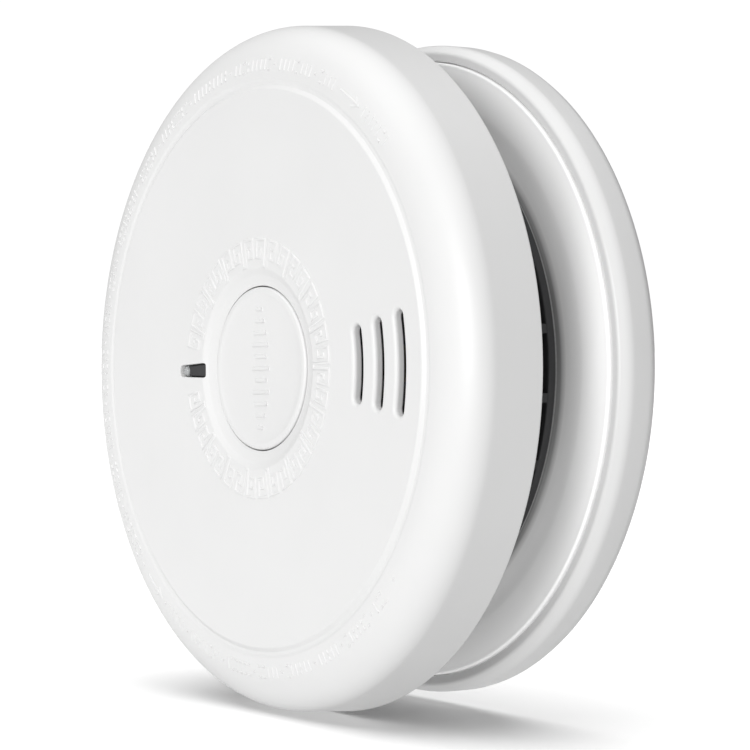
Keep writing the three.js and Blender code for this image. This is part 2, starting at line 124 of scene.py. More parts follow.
BUTTON_DISH_R = 12.2  # radius of the shallow dish in the button's top
SHOULDER = {"r": 50.6, "h": 35.1, "wide": 8.8, "high": 6.5}  # middle and half axes of its ellipse
GROOVE_DEEP = 0.55
KEY_RING = (17.75, 22.3)  # inner and outer radius of the key pattern
MARK_RING = (51.5, 53.4)  # inner and outer radius of the raised marks
SLOT_RADII = (30.6, 36.5, 42.5)
SLOT_W = 2.2
SLOT_HALF_ANGLE = 10.2
SLOT_FLARE = 0.75  # rounding of the slots' mouths
SLOT_RELIEF = 0.8  # the slots are this much wider on each side, behind their mouths
WINDOW = {"near": (-16.75, 1.32, 0.45), "far": (-24.9, 1.02, 0.85)}  # x, half width, corner radius
LED_X = place_of("light_pipe")[0]
POSTS = [place_of(f"assembly_screw_{i}") for i in (1, 2, 3)]
BOARD_SCREWS = [place_of(f"board_screw_{i}") for i in (1, 2, 3)]
BORE_R = 1.7  # of the assembly screws' bores
BOARD_BORE_R = 1.4
RIM_INNER = BASE_R + 0.35
HOOK_ANGLES = (90, 210, 330)
HOOK_HALF = 8  # half the width of a hook, in degrees
HOOK = {"inner": 46.6, "post": 49, "lip_inner": 48.5, "lip": 51.4, "under": 5.3, "top": 6.7}
BASE_LEDGE = {"r": 49.4, "top": 4.9}  # what the hooks hold
WELL = {"x": 51, "z": 26.9, "wall": 1.2}  # inside of the battery well
SCREW_CIRCLE = 30
SCREW_SLOT_HALF_W = 2.3
SCREW_SLOT_HALF_ANGLE = 14
KEYHOLES = (26, -34)  # Z of the middles of their entries
KEYHOLE_ENTRY_R = 4.6
KEYHOLE_RUN = 10
SIDES, INNER_SIDES = 256, 192  # facets of the large round shells, and of the pieces inside them


# ---------- mesh making ----------
def polar(r, degrees):
    return r * math.cos(math.radians(degrees)), r * math.sin(math.radians(degrees))


def at(x, h, z):
    return Vector((x, -h, z)) * MM


def finish_mesh(name, bm, smooth_angle=32):
    """Cleans a mesh under construction and puts it in the scene as a smooth-shaded object."""
    bmesh.ops.remove_doubles(bm, verts=bm.verts, dist=1e-7)
    bmesh.ops.dissolve_degenerate(bm, edges=bm.edges, dist=1e-8)
    bmesh.ops.recalc_face_normals(bm, faces=bm.faces)
    mesh = bpy.data.meshes.new(name)
    bm.to_mesh(mesh)
    bm.free()
    piece = bpy.data.objects.new(name, mesh)
    bpy.context.scene.collection.objects.link(piece)
    shade(piece, smooth_angle)
    return piece


def shade(piece, smooth_angle=32):
    mesh = piece.data
    mesh.polygons.foreach_set("use_smooth", [True] * len(mesh.polygons))
    mesh.set_sharp_from_angle(angle=math.radians(smooth_angle))


def filleted(points, steps=5):
    """Rounds each corner of a closed outline that has a third number, its fillet radius."""
    out = []
    for i, (x, y, *fillet) in enumerate(points):
        corner = Vector((x, y))
        if not fillet:
            out.append(corner)
            continue
        radius = fillet[0]
        back = (Vector(points[i - 1][:2]) - corner).normalized()
        ahead = (Vector(points[(i + 1) % len(points)][:2]) - corner).normalized()
        half = back.angle(ahead) / 2
        centre = corner + (back + ahead).normalized() * radius / math.sin(half)
        start = corner + back * radius / math.tan(half) - centre
        end = corner + ahead * radius / math.tan(half) - centre
        whole = start.angle(end)
        for step in range(steps + 1):
            t = step / steps
            arm = start * math.sin((1 - t) * whole) + end * math.sin(t * whole)
            out.append(centre + arm / math.sin(whole))
    return [tuple(point) for point in out]


def lathe(name, profile, sides=SIDES, centre=(0, 0)):
    """A closed profile of (radius, height) points turned about an axis along Y."""
    bm = bmesh.new()
    rings = []
    for k in range(sides):
        x, z = polar(1, 360 * k / sides)
        ring = [bm.verts.new(at(centre[0] + r * x, h, centre[1] + r * z)) for r, h in profile]
        rings.append(ring)
    count = len(profile)
    for k, ring in enumerate(rings):
        following = rings[(k + 1) % sides]
        for i in range(count):
            j = (i + 1) % count
            if profile[i][0] == 0 and profile[j][0] == 0:
                continue  # this run lies on the axis and sweeps no face
            bm.faces.new((ring[i], following[i], following[j], ring[j]))
    return finish_mesh(name, bm)


def loft(name, sections):
    """A closed solid through outlines of equal length; each section is (height, [(x, z), ...])."""
    bm = bmesh.new()
    rows = [[bm.verts.new(at(x, h, z)) for x, z in outline] for h, outline in sections]
    count = len(rows[0])
    for a, b in zip(rows, rows[1:]):
        for i in range(count):
            j = (i + 1) % count
            bm.faces.new((a[i], a[j], b[j], b[i]))
    bm.faces.new(rows[0])
    bm.faces.new(rows[-1])
    return finish_mesh(name, bm)


def straight(name, low, high, outline):
    """A prism along the axis, between two heights."""
    return loft(name, [(low, outline), (high, outline)])


def circle(radius, centre=(0, 0), sides=48):
    spokes = [polar(radius, 360 * i / sides) for i in range(sides)]
    return [(centre[0] + x, centre[1] + z) for x, z in spokes]


def rectangle(width, tall, radius, centre=(0, 0)):
    x, z = width / 2, tall / 2
    corners = [(x, z, radius), (-x, z, radius), (-x, -z, radius), (x, -z, radius)]
    return [(centre[0] + a, centre[1] + b) for a, b in filleted(corners)]


def arc_slot(radius, half_width, half_angle, middle=0):
    """The outline of a slot with round ends that follows a circle about the axis."""
    steps, end_steps = 16, 8
    first, last = middle - half_angle, middle + half_angle
    turn = [2 * half_angle * i / steps for i in range(steps + 1)]

    def round_end(angle, facing):
        hub = polar(radius, angle)
        arm = [polar(half_width, angle + facing + 180 * i / end_steps) for i in range(1, end_steps)]
        return [(hub[0] + x, hub[1] + z) for x, z in arm]

    outer = [polar(radius + half_width, first + a) for a in turn]
    inner = [polar(radius - half_width, last - a) for a in turn]
    return outer + round_end(last, 0) + inner + round_end(first, 180)


def wedge(inner, outer, start, end, low, high, steps=10):
    """Part of a ring, between two radii, two angles and two heights."""
    turn = [start + (end - start) * i / steps for i in range(steps + 1)]
    outline = [polar(outer, a) for a in turn] + [polar(inner, a) for a in reversed(turn)]
    return straight("wedge", low, high, outline)


def flared(outline_at, low, mouth, edge):
    """Sections of a cutter whose mouth opens in a rounded edge; outline_at(offset) gives its outline."""
    steps, above = 6, 0.6
    sections = [(low, outline_at(0))]
    for i in range(steps, -1, -1):
        turn = math.pi / 2 * i / steps
        sections.append((mouth - edge * (1 - math.cos(turn)), outline_at(edge * (1 - math.sin(turn)))))
    return sections + [(mouth + above, outline_at(edge))]


def combine(piece, tools, operation):
    """Adds or cuts the tools, which are used up."""
    for tool in tools:
        change = piece.modifiers.new("combine", "BOOLEAN")
        change.operation = operation
        change.solver = "EXACT"
        change.object = tool
    depsgraph = bpy.context.evaluated_depsgraph_get()
    mesh = bpy.data.meshes.new_from_object(piece.evaluated_get(depsgraph))
    mesh.name = piece.name
    mesh.validate()
    piece.modifiers.clear()
    piece.data = mesh
    for tool in tools:
        bpy.data.objects.remove(tool)
    shade(piece)


def weigh_normals(piece):
    """Keeps flat faces flat beside their small fillets."""
    change = piece.modifiers.new("flat faces stay flat", "WEIGHTED_NORMAL")
    change.keep_sharp = True
    change.weight = 100


def strokes(name, paths, width, height, surface):
    """Raised lines with sloping sides. A path is a list of (x, z) points, and surface(r) a height."""
    sunk = 0.1  # the lines start this far under the surface
    section = [(0.56, -sunk), (0.5, height * 0.2), (0.38, height * 0.7), (0.2, height)]
    section += [(-across, up) for across, up in reversed(section)]
    bm = bmesh.new()
    for path in paths:
        points = [Vector(p) for p in path]
        steps = [(b - a).normalized() for a, b in zip(points, points[1:])]
        rows = []
        for i, point in enumerate(points):
            before = steps[max(i - 1, 0)]
            after = steps[min(i, len(steps) - 1)]
            side_a, side_b = Vector((-before.y, before.x)), Vector((-after.y, after.x))
            mitre = (side_a + side_b) / (1 + side_a.dot(side_b))
            row = []
            for across, up in section:
                spot = point + mitre * across * width
                row.append(bm.verts.new(at(spot.x, surface(spot.length) + up, spot.y)))
            rows.append(row)
        for a, b in zip(rows, rows[1:]):
            for i in range(len(section)):
                j = (i + 1) % len(section)
                bm.faces.new((a[i], a[j], b[j], b[i]))
        bm.faces.new(rows[0])
        bm.faces.new(rows[-1])
    return finish_mesh(name, bm, smooth_angle=50)


def attach(piece, body, slot, *nodes):
    """The piece rides on a body, takes a finish, and stands for CAD nodes if any are named."""
    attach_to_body(piece, body)
    if nodes:
        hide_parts(*nodes)
    piece.data.materials.append(MATERIALS[slot])
    return piece


# ---------- materials ----------
class Shader:
    """A material under construction. Its textures follow the piece's own coordinates, in metres."""

    def __init__(self, name, colour, roughness, metallic=0.0):
        self.slot = name
        self.material = bpy.data.materials.new(name + "_finish")
        self.material.use_nodes = True
        self.nodes = self.material.node_tree.nodes
        self.links = self.material.node_tree.links
        self.surface = self.nodes["Principled BSDF"]
        self.surface.inputs["Metallic"].default_value = metallic
        self.surface.inputs["Base Color"].default_value = (*colour, 1)
        self.surface.inputs["Roughness"].default_value = roughness
        self.place = self.nodes.new("ShaderNodeTexCoord").outputs["Object"]
        self.colour, self.roughness = colour, roughness

    def set(self, name, value):
        self.surface.inputs[name].default_value = value
        return self

    def stretched(self, scale):
        mapping = self.nodes.new("ShaderNodeMapping")
        mapping.inputs["Scale"].default_value = scale
        self.links.new(self.place, mapping.inputs["Vector"])
        return mapping.outputs["Vector"]

    def noise(self, per_metre, detail=3.0, scale=None):
        node = self.nodes.new("ShaderNodeTexNoise")
        node.inputs["Scale"].default_value = per_metre
        node.inputs["Detail"].default_value = detail
        self.links.new(self.stretched(scale) if scale else self.place, node.inputs["Vector"])
        return node.outputs["Fac"]

    def cells(self, per_metre, distance="EUCLIDEAN", randomness=1.0):
        """Distance from the middles of scattered cells."""
        node = self.nodes.new("ShaderNodeTexVoronoi")
        node.distance = distance
        node.inputs["Scale"].default_value = per_metre
        node.inputs["Randomness"].default_value = randomness
        self.links.new(self.place, node.inputs["Vector"])
        return node.outputs["Distance"]

    def ramp(self, value, stops):
        node = self.nodes.new("ShaderNodeValToRGB")
        while len(node.color_ramp.elements) < len(stops):
            node.color_ramp.elements.new(0.5)
        for element, (position, colour) in zip(node.color_ramp.elements, stops):
            element.position = position
            element.color = (*colour, 1)
        self.links.new(value, node.inputs["Fac"])
        return node.outputs["Color"]

    def vary_roughness(self, value, spread):
        node = self.nodes.new("ShaderNodeMapRange")
        node.inputs["To Min"].default_value = self.roughness - spread
        node.inputs["To Max"].default_value = self.roughness + spread
        self.links.new(value, node.inputs["Value"])
        self.links.new(node.outputs["Result"], self.surface.inputs["Roughness"])

    def vary_colour(self, value, spread):
        """The colour drifts a little lighter and darker with the value."""
        dark = tuple(c * (1 - spread) for c in self.colour)
        light = tuple(min(1, c * (1 + spread)) for c in self.colour)
        self.paint(self.ramp(value, [(0.3, dark), (0.7, light)]))

    def paint(self, colour):
        self.links.new(colour, self.surface.inputs["Base Color"])
        return self

    def bump(self, value, height_mm, strength=1.0):
        node = self.nodes.new("ShaderNodeBump")
        node.inputs["Distance"].default_value = height_mm * MM
        node.inputs["Strength"].default_value = strength
        self.links.new(value, node.inputs["Height"])
        earlier = self.surface.inputs["Normal"]
        if earlier.is_linked:
            self.links.new(earlier.links[0].from_socket, node.inputs["Normal"])
        self.links.new(node.outputs["Normal"], earlier)


def moulded(name, colour, roughness, grain_mm=0.35, grain_height=0.004, drift=0.012):
    """Moulded plastic: the tool's fine spark texture, a slow unevenness, and a slight drift in gloss."""
    shader = Shader(name, colour, roughness)
    shader.vary_colour(shader.noise(45, 4), drift)
    shader.vary_roughness(shader.noise(140, 5), 0.05)
    shader.bump(shader.noise(12, 1), 0.05, 0.35)
    shader.bump(shader.noise(1 / (grain_mm * MM), 2), grain_height)
    return shader


def metal(name, colour, roughness, grain=(1, 1, 30)):
    """Rolled or drawn metal: fine lines along one direction and cloudy reflections."""
    shader = Shader(name, colour, roughness, 1.0)
    lines = shader.noise(900, 3, grain)
    shader.vary_roughness(lines, 0.08)
    shader.vary_colour(shader.noise(180, 4), 0.06)
    shader.bump(lines, 0.002)
    return shader


def painted_shade_foot(name, colour, roughness, ring):
    """Moulded plastic with a soft grey painted shade, darkest at the inner radius of the ring."""
    shader = moulded(name, colour, roughness)
    shader.material.name = "base_painted_shade"
    flat = shader.nodes.new("ShaderNodeVectorMath")
    flat.operation = "MULTIPLY"
    flat.inputs[1].default_value = (1, 0, 1)
    shader.links.new(shader.place, flat.inputs[0])
    radius = shader.nodes.new("ShaderNodeVectorMath")
    radius.operation = "LENGTH"
    shader.links.new(flat.outputs["Vector"], radius.inputs[0])
    span = shader.nodes.new("ShaderNodeMapRange")
    span.inputs["From Min"].default_value = ring[0] * MM
    span.inputs["From Max"].default_value = ring[1] * MM
    shader.links.new(radius.outputs["Value"], span.inputs["Value"])
    # Painted shade: the share of the colour left at each place across the ring, darkest just outside its
    # inner radius.
    brightness = ((0, 1), (0.01, 0.15), (0.06, 0.25), (0.11, 0.6), (0.22, 0.95), (0.4, 1))
    painted_shade_stops = [(place, tuple(c * share for c in colour)) for place, share in brightness]
    return shader.paint(shader.ramp(span.outputs["Result"], painted_shade_stops))


def circuit_mask(name, colour):
    """Solder mask that is paler over the copper, which lies in square-cornered fields."""
    shader = Shader(name, colour, 0.32)
    edges = shader.cells(230, "CHEBYCHEV", 0.85)
    tracks = tuple(c * 1.9 + 0.01 for c in colour)
    stops = [(0.0, tracks), (0.42, tracks), (0.46, colour), (0.62, colour), (0.66, tracks)]
    shader.paint(shader.ramp(edges, stops))
    shader.bump(edges, 0.03, 0.4)
    shader.vary_roughness(shader.noise(700, 3), 0.06)
    return shader


def battery_jacket(name, colour):
    """A thin printed metal sleeve: a dark body, a copper-coloured end and a pale ring between them."""
    shader = Shader(name, colour, 0.28, 0.75)
    axes = shader.nodes.new("ShaderNodeSeparateXYZ")
    shader.links.new(shader.place, axes.inputs["Vector"])
    along = shader.nodes.new("ShaderNodeMapRange")
    low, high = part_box("battery_case")
    along.inputs["From Min"].default_value = low.x
    along.inputs["From Max"].default_value = high.x
    shader.links.new(axes.outputs["X"], along.inputs["Value"])
    copper, pale = (0.55, 0.24, 0.09), (0.6, 0.58, 0.54)
    bands = [(0.0, colour), (0.68, colour), (0.685, pale), (0.72, pale), (0.725, copper), (1.0, copper)]
    shader.paint(shader.ramp(along.outputs["Result"], bands))
    shader.vary_roughness(shader.noise(260, 4), 0.07)
    shader.bump(shader.noise(90, 3), 0.03, 0.5)
    return shader


def clear_plastic(name):
    shader = Shader(name, (0.9, 0.92, 0.93), 0.08)
    shader.set("Transmission Weight", 0.6)
    shader.vary_roughness(shader.noise(600, 3), 0.02)
    shader.bump(shader.noise(350, 2), 0.002)
    return shader


def foam(name):
    shader = Shader(name, (0.05, 0.05, 0.05), 0.95)
    pores = shader.cells(1900)
    shader.bump(pores, 0.15, 0.8)
    # The pits are painted darker too: painted shade in the pores.
    shader.vary_colour(pores, 0.4)
    return shader


def epoxy(name, colour, roughness=0.12):
    shader = Shader(name, colour, roughness)
    shader.set("Coat Weight", 0.4).set("Coat Roughness", 0.08)
    shader.vary_colour(shader.noise(500, 3), 0.08)
    shader.vary_roughness(shader.noise(900, 3), 0.04)
    shader.bump(shader.noise(700, 2), 0.004)
    return shader


WHITE = (0.74, 0.74, 0.738)
WHITE_ROUGHNESS = 0.42
PLASTIC_IOR = 1.49
SHADERS = [
    moulded("white_plastic", WHITE, WHITE_ROUGHNESS),
    moulded("black_plastic", (0.03, 0.03, 0.032), 0.6, 0.3, 0.008, 0.2),
    moulded("dark_mesh", (0.035, 0.035, 0.037), 0.6, 0.3, 0.008, 0.2),
    circuit_mask("circuit_board", (0.012, 0.11, 0.045)),
    metal("plated_steel", (0.62, 0.62, 0.61), 0.3),
    metal("spring_steel", (0.5, 0.5, 0.5), 0.3, (1, 8, 1)),
    metal("brass", (0.72, 0.52, 0.24), 0.32, (30, 1, 1)),
    epoxy("ceramic", (0.72, 0.69, 0.62), 0.4),
    clear_plastic("clear_plastic"),
    epoxy("dark_lens", (0.02, 0.012, 0.035)),
    epoxy("red_lens", (0.7, 0.03, 0.02)),
    battery_jacket("battery_jacket", (0.07, 0.085, 0.11)),
    foam("foam"),
    moulded("ferrite", (0.05, 0.045, 0.04), 0.8, 0.2, 0.03, 0.25),
    epoxy("capacitor_sleeve", (0.02, 0.03, 0.08), 0.25),
    epoxy("red_sleeve", (0.5, 0.025, 0.02), 0.3),
    epoxy("black_sleeve", (0.015, 0.015, 0.015), 0.3),
]
for shader in SHADERS:
    shader.set("IOR", PLASTIC_IOR)
MATERIALS = {shader.slot: shader.material for shader in SHADERS}
# The base's white plastic, with painted shade on its dish across this ring round the cage's foot.
FOOT_RING = (CAGE_R - 0.55, CAGE_R + 5.5)
BASE_PAINTED_SHADE = painted_shade_foot("white_plastic", WHITE, WHITE_ROUGHNESS, FOOT_RING).material


# ---------- front cover ----------
def cover_height(r):
    """Height of the cover's outer surface at a radius, outside the groove."""
    if r <= SHOULDER["r"]:
        return DEPTH
    across = min(1, (r - SHOULDER["r"]) / SHOULDER["wide"])
    return SHOULDER["h"] + SHOULDER["high"] * math.sqrt(1 - across * across)


def quarter(wide, high, steps):
    """Points of the shoulder's quarter ellipse, from the side wall to the face."""
    turned = [polar(1, 90 * i / steps) for i in range(steps + 1)]
    return [(SHOULDER["r"] + x * wide, SHOULDER["h"] + y * high) for x, y in turned]


def cover_profile():
    """Side wall, shoulder, groove, flat face, the recess and sleeve of the button, and back inside."""
    step = DEPTH - GROOVE_DEEP
    shoulder_top = SHOULDER["h"] + SHOULDER["high"]
    return filleted([
        (COVER_R, COVER_BACK, 0.3),
        *quarter(SHOULDER["wide"], SHOULDER["high"], 26),
        (50.0, shoulder_top, 0.25),
        (49.5, step, 0.3),
        (48.9, step, 0.3),
        (48.2, DEPTH, 0.5),
        (34, DEPTH),
        (17.4, DEPTH, 0.9),
        (16.2, DEPTH - 0.65, 1.2),
        (14.9, DEPTH - 1.0, 0.8),
        (BUTTON_HOLE_R, DEPTH - 1.1, 0.1),
        (BUTTON_HOLE_R, SLEEVE_LOW, 0.2),
        (15.9, SLEEVE_LOW, 0.2),
        (15.9, FACE_INNER, 0.3),
        (34, FACE_INNER),
        *reversed(quarter(SHOULDER["wide"] - SKIN, FACE_INNER - SHOULDER["h"], 12)),
        (COVER_R - SKIN, COVER_BACK, 0.3),
    ])


def make_front_cover():
    cover = lathe("front_cover_shell", cover_profile())
    post_r, bore_top = 2.9, 36.5
    low, top = low_height("front_cover"), FACE_INNER + 0.3
    combine(cover, [straight("post", low, top, circle(post_r, p)) for p in POSTS], "UNION")
    cuts = [straight("bore", low - 1, bore_top, circle(BORE_R, p)) for p in POSTS]
    cut_low = FACE_INNER - 0.5
    for radius in SLOT_RADII:
        def slot(offset, radius=radius):
            return arc_slot(radius, SLOT_W / 2 + offset, SLOT_HALF_ANGLE)
        cuts.append(loft("slot", flared(slot, cut_low, DEPTH, SLOT_FLARE)))
        cuts.append(straight("relief", cut_low, DEPTH - 1.5, slot(SLOT_RELIEF)))
    cuts.append(loft("window", flared(window_outline, cut_low, DEPTH, 0.15)))
    combine(cover, cuts, "DIFFERENCE")
    weigh_normals(cover)
    return attach(cover, "head", "white_plastic", "front_cover")


def window_outline(offset=0.0):
    """The light window: a long opening that narrows away from the button."""
    near, half_near, round_near = WINDOW["near"]
    far, half_far, round_far = WINDOW["far"]
    return filleted([
        (near + offset, half_near + offset, round_near + offset),
        (far - offset, half_far + offset, round_far + offset),
        (far - offset, -half_far - offset, round_far + offset),
        (near + offset, -half_near - offset, round_near + offset),
    ], 8)


# ---------- relief on the cover ----------
def along(points, pieces=4):
    """Splits each run between (radius, angle) points at two angles, so that it follows the circle."""
    out = []
    for (r0, a0), (r1, a1) in zip(points, points[1:]):
        count = pieces if a0 != a1 else 1
        out += [(r0 + (r1 - r0) * i / count, a0 + (a1 - a0) * i / count) for i in range(count)]
    return out + [points[-1]]


def make_key_pattern():
    """Pairs of mirrored square spirals round the button, with a space at the light window."""
    pairs, half_pair = 17, 10.0  # half_pair in degrees
    inner, outer = KEY_RING
    # (share of half a pair's width, share of the ring's width), from the spiral's middle outwards
    spiral = [(0.62, 0.66), (0.42, 0.66), (0.42, 0.3), (0.84, 0.3), (0.84, 1), (0.14, 1), (0.14, 0)]
    whole = spiral + [(-u, v) for u, v in reversed(spiral)]
    paths = []
    for k in range(pairs):
        middle = 180 + 2 * half_pair * (k + 1)
        points = [(inner + v * (outer - inner), middle + u * half_pair) for u, v in whole]
        paths.append([polar(r, a) for r, a in along(points)])
    ring = strokes("key_pattern", paths, 0.52, 0.2, lambda r: DEPTH)
    attach(ring, "head", "white_plastic")


def arrow(middle, reach_degrees, clockwise):
    """An arrow with an open head that follows the mark ring."""
    inner, outer = MARK_RING
    r = (inner + outer) / 2
    sign = -1 if clockwise else 1
    tip = middle + sign * reach_degrees
    shaft = [(r, middle - sign * reach_degrees), (r, tip - sign * 0.4)]
    head = [(outer, tip - sign * 1.7), (r, tip), (inner, tip - sign * 1.7)]
    return [[polar(a, b) for a, b in along(shaft, 5)], [polar(a, b) for a, b in head]]


def mark(kind, angle):
    """One raised mark: a tick across the ring, a tick in two parts, a pair of dashes, or a dot."""
    inner, outer = MARK_RING
    middle = (inner + outer) / 2
    runs = {
        "tick": [[(inner, angle), (outer, angle)]],
        "split": [[(inner, angle), (middle - 0.25, angle)], [(middle + 0.25, angle), (outer, angle)]],
        "dash": [[(r, angle - 0.4), (r, angle + 0.4)] for r in MARK_RING],
        "dot": [[(middle, angle - 0.25), (middle, angle + 0.25)]],
    }[kind]
    return [[polar(*point) for point in run] for run in runs]


def make_raised_marks():
    """Groups of marks with a dot between them, and two arrows, on the start of the shoulder."""
    draw = random.Random(7)
    arrow_reach, arrow_gap = 3.2, 1.6  # degrees
    arrow_middles = {57.5: True, 228: False}  # angle: whether the arrow points clockwise
    paths = []
    for middle, clockwise in arrow_middles.items():
        paths += arrow(middle, arrow_reach, clockwise)
    angle, end, pitch = 43.5, 314, 1.45  # degrees
    while angle < end:
        length = draw.randint(5, 9)
        for k in range(length):
            spot = angle + pitch * k
            near = any(abs(spot - middle) < arrow_reach + arrow_gap for middle in arrow_middles)
            if near or spot > end:
                continue
            paths += mark(draw.choice(("tick", "tick", "split", "dash")), spot)
        gap = angle + pitch * (length + 0.3)
        paths += mark("dot", gap)
        angle = gap + pitch * 1.3
    marks = strokes("raised_marks", paths, 0.42, 0.16, cover_height)
    attach(marks, "head", "white_plastic")


# ---------- test button ----------
def button_height(r):
    """The button's top is a shallow dish inside its rim."""
    return BUTTON_TOP - 0.2 - 0.35 * (1 - min(1, r / BUTTON_DISH_R) ** 2)


def make_test_button():
    dish = [(r, button_height(r)) for r in (BUTTON_DISH_R, 11, 9.5, 8, 6.5, 5, 3.5, 2, 1, 0)]
    roof, inside = BUTTON_TOP - 2.3, BUTTON_R - 1.6
    profile = filleted([
        (0, roof),
        (inside, roof, 0.3),
        (inside, BUTTON_LOW, 0.2),
        (BUTTON_R, BUTTON_LOW, 0.2),
        (BUTTON_R, BUTTON_TOP, 0.5),
        (13.0, BUTTON_TOP, 0.4),
        *dish,
    ])
    button = lathe("test_button_cap", profile, INNER_SIDES)
    foot = high_height("switch_plunger") + 0.05
    stem = straight("stem", foot, roof + 0.5, circle(2.2))
    # Lugs behind the cover's sleeve keep the button in.
    lugs = [wedge(13.2, 15.2, a - 10, a + 10, BUTTON_LOW, SLEEVE_LOW - 0.3) for a in (60, 180, 300)]
    combine(button, [stem, *lugs], "UNION")
    weigh_normals(button)
    attach(button, "button", "white_plastic", "test_button")


def make_button_bars():
    """A row of bars of changing length, as a sign for a sound."""
    lengths = (1.6, 2.6, 3.8, 4.8, 3.4, 5.0, 3.4, 4.8, 3.8, 2.6, 1.6)
    pitch, x = 2.05, -0.25  # x is the middle of every bar
    paths = []
    for k, length in enumerate(lengths):
        z = pitch * (k - (len(lengths) - 1) / 2)
        paths.append([(x - length / 2, z), (x + length / 2, z)])
    bars = strokes("button_bars", paths, 0.75, 0.3, button_height)
    attach(bars, "button", "white_plastic")


def make_button_spring():
    """A coil with closed ends."""
    radius, wire_r, turns = 5.8, 0.3, 6
    per_turn, around = 40, 10
    low, high = low_height("button_spring") + wire_r, high_height("button_spring") - wire_r
    closed, closed_pitch = 0.75, 0.3  # each end rises this slowly over this much of a turn
    bm = bmesh.new()
    rings = []
    for i in range(turns * per_turn + 1):
        turn = i / per_turn
        rise = min(max((turn - closed) / (turns - 2 * closed), 0), 1)
        ends = min(turn, closed) - max(turn - turns + closed, 0)
        h = low + (high - low) * rise + closed_pitch * ends
        ring = []
        for k in range(around):
            out, up = polar(wire_r, 360 * k / around)
            x, z = polar(radius + out, 360 * turn)
            ring.append(bm.verts.new(at(x, h + up, z)))
        rings.append(ring)
    for a, b in zip(rings, rings[1:]):
        for k in range(around):
            j = (k + 1) % around
            bm.faces.new((a[k], a[j], b[j], b[k]))
    bm.faces.new(rings[0])
    bm.faces.new(rings[-1])
    spring = finish_mesh("button_spring_coil", bm)
    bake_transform(spring)
    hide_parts("button_spring")
    spring.data.materials.append(MATERIALS["spring_steel"])


# ---------- light window ----------
def make_light_pipe():
    """A rod with a wide foot over the light and a domed tip in the window."""
    radius, foot_r = 0.95, 2.2
    foot = low_height("light_pipe")
    tip = high_height("light_pipe") - radius
    dome = [(x, tip + y) for x, y in (polar(radius, 90 * i / 8) for i in range(8))]
    skirt = [(0, foot), (foot_r, foot), (foot_r, foot + 1.2), (radius, foot + 1.8)]
    profile = [*skirt, *dome, (0, tip + radius)]
    pipe = lathe("light_pipe_rod", profile, 48, (LED_X, 0))
    attach(pipe, "head", "clear_plastic", "light_pipe")


def make_light_pipe_holder():
    """A block round the light pipe, with a boss that fills the window."""
    low, high = low_height("light_pipe_holder"), FACE_INNER - 0.3
    middle, _ = place_of("light_pipe_holder")
    holder = straight("light_pipe_holder_block", low, high, rectangle(9, 4.4, 0.6, (middle, 0)))
    top = high_height("light_pipe_holder")
    boss = loft("boss", [
        (high - 0.5, window_outline(-0.2)),
        (top - 0.2, window_outline(-0.2)),
        (top, window_outline(-0.35)),
    ])
    combine(holder, [boss], "UNION")
    bore = straight("bore", low - 1, top + 1, circle(1.0, (LED_X, 0), 32))
    combine(holder, [bore], "DIFFERENCE")
    attach(holder, "head", "black_plastic", "light_pipe_holder")


# ---------- inlet cage, insect screen and rear cover ----------
def make_inlet_cage():
    """A foot ring and a top ring with an inner ledge, joined by thin ribs."""
    foot_top = BASE_TOP + 1.6
    cage = lathe("inlet_cage_ribs", filleted([
        (CAGE_INNER, BASE_TOP + 0.05, 0.2),
        (CAGE_R, BASE_TOP + 0.05, 0.2),
        (CAGE_R, foot_top, 0.3),
        (CAGE_INNER, foot_top, 0.3),
    ], 3), INNER_SIDES)
    seat = low_height("circuit_board") - 0.3
    top = lathe("top", filleted([
        (CAGE_INNER, CAGE_TOP, 0.2),
        (CAGE_R, CAGE_TOP, 0.2),
        (CAGE_R, LEDGE, 0.3),
        (LEDGE_INNER, LEDGE, 0.2),
        (LEDGE_INNER, seat, 0.2),
        (CAGE_INNER, seat, 0.2),
    ], 3), INNER_SIDES)
    ribs = []
    for k in range(RIBS):
        a = 360 * (k + 0.5) / RIBS
        ribs.append(wedge(CAGE_INNER + 0.1, CAGE_R - 0.15, a - 1, a + 1, foot_top - 0.5, LEDGE + 0.6, 2))
    combine(cage, [top, *ribs], "UNION")
    bores = []
    for radius, places in ((BORE_R, POSTS), (BOARD_BORE_R, BOARD_SCREWS)):
        for place in places:
            bores.append(straight("bore", LEDGE - 1, seat + 1, circle(radius, place, 24)))
    combine(cage, bores, "DIFFERENCE")
    attach(cage, "head", "black_plastic", "inlet_cage")


def make_insect_screen():
    """A woven sleeve: a cylinder's grid turned into wires."""
    columns, rows = 220, 9
    radius = reach("insect_screen") - 0.2
    low, high = low_height("insect_screen") + 0.2, high_height("insect_screen") - 0.2
    bm = bmesh.new()
    grid = []
    for i in range(rows + 1):
        h = low + (high - low) * i / rows
        ring = [polar(radius, 360 * k / columns) for k in range(columns)]
        grid.append([bm.verts.new(at(x, h, z)) for x, z in ring])
    for a, b in zip(grid, grid[1:]):
        for k in range(columns):
            j = (k + 1) % columns
            bm.faces.new((a[k], a[j], b[j], b[k]))
    screen = finish_mesh("insect_screen_weave", bm)
    wires = screen.modifiers.new("wires", "WIREFRAME")
    wires.thickness = 0.34 * MM
    depsgraph = bpy.context.evaluated_depsgraph_get()
    mesh = bpy.data.meshes.new_from_object(screen.evaluated_get(depsgraph))
    screen.modifiers.clear()
    screen.data = mesh
    attach(screen, "head", "dark_mesh", "insect_screen")


def make_rear_cover():
    """A flat ring with a shallow groove round its rear face."""
    low, high = low_height("rear_cover"), high_height("rear_cover")
    outer, inner = reach("rear_cover"), CAGE_R - 1.4
    groove = [(49, low), (49.4, low + 0.4), (50.2, low + 0.4), (50.6, low)]
    corners = [(inner, low), *groove, (outer, low), (outer, high), (inner, high)]
    profile = filleted([(r, h, 0.2) for r, h in corners], 3)
    ring = lathe("rear_cover_ring", profile, INNER_SIDES)
    attach(ring, "head", "black_plastic", "rear_cover")


